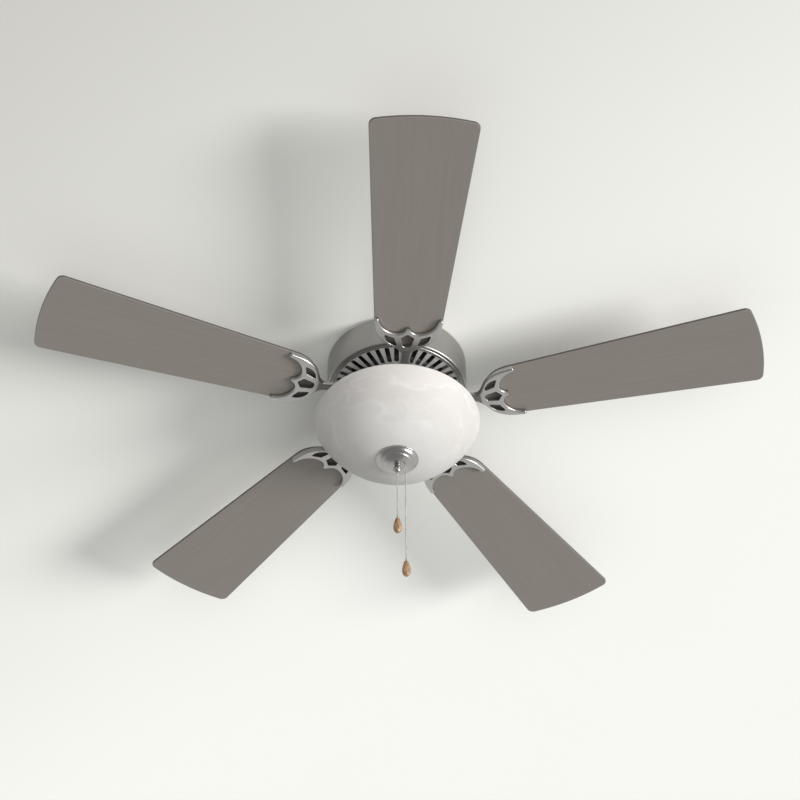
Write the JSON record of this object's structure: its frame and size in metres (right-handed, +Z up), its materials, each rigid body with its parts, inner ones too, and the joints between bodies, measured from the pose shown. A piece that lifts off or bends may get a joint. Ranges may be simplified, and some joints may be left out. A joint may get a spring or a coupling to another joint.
{
  "type": "ceiling fan with light",
  "caption": "Close-mounted ceiling fan in satin nickel with grey tapered blades on pierced irons, a clouded glass bowl light and two pull chains with wooden pulls.",
  "frame": {"origin": "on the fan's axis in the plane of the ceiling, midway between the two outlet box screw holes", "axes": "+Z up along the fan's axis into the ceiling, +X along the line of the two outlet box screw holes"},
  "size_m": [1.2932, 1.2639, 0.506],
  "materials": {
    "satin_nickel": "satin nickel plate",
    "blade_board": "grey satin laminate on board",
    "alabaster_glass": "clouded white alabaster glass",
    "bulb_glass": "frosted",
    "plated_steel": "zinc plated",
    "lamination_steel": "stacked sheet",
    "cast_aluminium": "as cast",
    "winding_copper": "varnished wire",
    "pan_paint": "light paint",
    "gasket_rubber": "matt",
    "switch_plastic": "moulded",
    "lamp_holder_plastic": "moulded",
    "lamp_cap_metal": "bright",
    "chain_steel": "nickel plated beads",
    "pull_wood": "oiled"
  },
  "bodies": {
    "fixed_body": {"bearing_inner_rings": "plated_steel", "bowl_gasket": "gasket_rubber", "bracket_rivets": "plated_steel", "bulbs": "bulb_glass", "cap_washer": "gasket_rubber", "capacitor": "switch_plastic", "ceiling_plate": "plated_steel", "centre_rod": "plated_steel", "fan_switch": "switch_plastic", "finial_cap": "satin_nickel", "finial_knob": "satin_nickel", "fitter_pan": "pan_paint", "fitter_screws": "satin_nickel", "glass_bowl": "alabaster_glass", "hanger_screws": "plated_steel", "housing_screws": "satin_nickel", "lamp_brackets": "plated_steel", "lamp_caps": "lamp_cap_metal", "lamp_holders": "lamp_holder_plastic", "light_switch": "switch_plastic", "motor_hanger": "plated_steel", "motor_housing": "satin_nickel", "motor_shaft": "plated_steel", "reverse_switch": "switch_plastic", "rod_nuts": "plated_steel", "shaft_nut": "plated_steel", "shaft_pin": "plated_steel", "stator_core": "lamination_steel", "stator_windings": "winding_copper", "switch_housing": "satin_nickel", "vent_ring": "satin_nickel"},
    "rotor": {"bearing_outer_rings": "plated_steel", "rotor_ring": "lamination_steel", "rotor_upper_case": "cast_aluminium", "rotor_lower_case": "cast_aluminium", "motor_bolts": "plated_steel", "blade_flange": "satin_nickel", "flange_screws": "plated_steel", "iron_screws": "satin_nickel", "blade_washers": "plated_steel", "blade_screws": "plated_steel", "blade_iron_1": "satin_nickel", "blade_iron_2": "satin_nickel", "blade_iron_3": "satin_nickel", "blade_iron_4": "satin_nickel", "blade_iron_5": "satin_nickel", "blade_1": "blade_board", "blade_2": "blade_board", "blade_3": "blade_board", "blade_4": "blade_board", "blade_5": "blade_board"},
    "fan_pull_chain": {"fan_chain_inside": "chain_steel", "fan_chain": "chain_steel", "fan_chain_link": "chain_steel", "fan_pull": "pull_wood"},
    "light_pull_chain": {"light_chain_inside": "chain_steel", "light_chain": "chain_steel", "light_chain_link": "chain_steel", "light_pull": "pull_wood"},
    "reverse_switch_slider": {"reverse_slider": "switch_plastic"}
  },
  "joints": [
    {"name": "rotor_spin", "type": "hinge", "parent": "fixed_body", "child": "rotor", "pos_m": [0, 0, -0.038], "axis": [0, 0, 1], "continuous": true},
    {"name": "fan_pull_travel", "type": "slide", "parent": "fixed_body", "child": "fan_pull_chain", "axis": [0, 0, -1], "range_m": [0, 0.01], "stiffness_N_per_m": 600},
    {"name": "light_pull_travel", "type": "slide", "parent": "fixed_body", "child": "light_pull_chain", "axis": [0, 0, -1], "range_m": [0, 0.01], "stiffness_N_per_m": 600},
    {"name": "reverse_switch_travel", "type": "slide", "parent": "fixed_body", "child": "reverse_switch_slider", "axis": [0, 0, -1], "range_m": [0, 0.006]}
  ]
}
